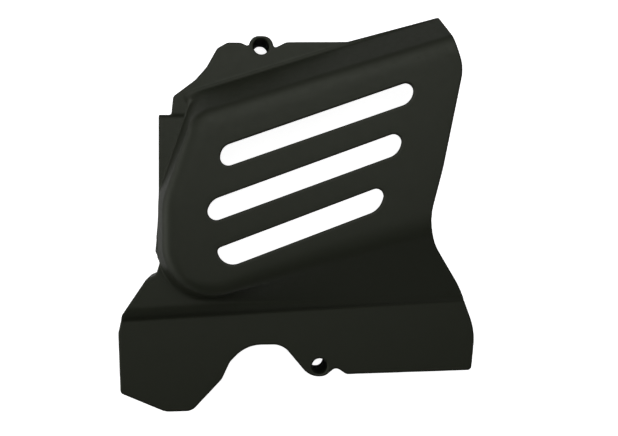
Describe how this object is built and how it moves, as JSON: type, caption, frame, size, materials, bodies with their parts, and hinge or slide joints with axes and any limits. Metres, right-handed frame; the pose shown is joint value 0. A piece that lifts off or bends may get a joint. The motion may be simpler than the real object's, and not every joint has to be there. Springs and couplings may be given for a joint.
{
  "type": "motorcycle sprocket cover",
  "caption": "Moulded motorcycle front sprocket cover: a raised hood with slanted air slots, open at one side for the chain, on a flange with bolt lugs and an arched notch.",
  "frame": {"origin": "axis of the upper bolt hole, on the rear seat that meets the engine", "axes": "+Z out of the front face, along the bolt holes; +Y up the cover, from the lower lug to the upper one; +X towards the open side where the chain leaves"},
  "size_m": [0.1581, 0.1742, 0.037],
  "materials": {
    "moulded_shell": "satin black moulded plastic, slightly warm"
  },
  "bodies": {
    "root": {"sprocket_cover": "moulded_shell"}
  },
  "joints": []
}
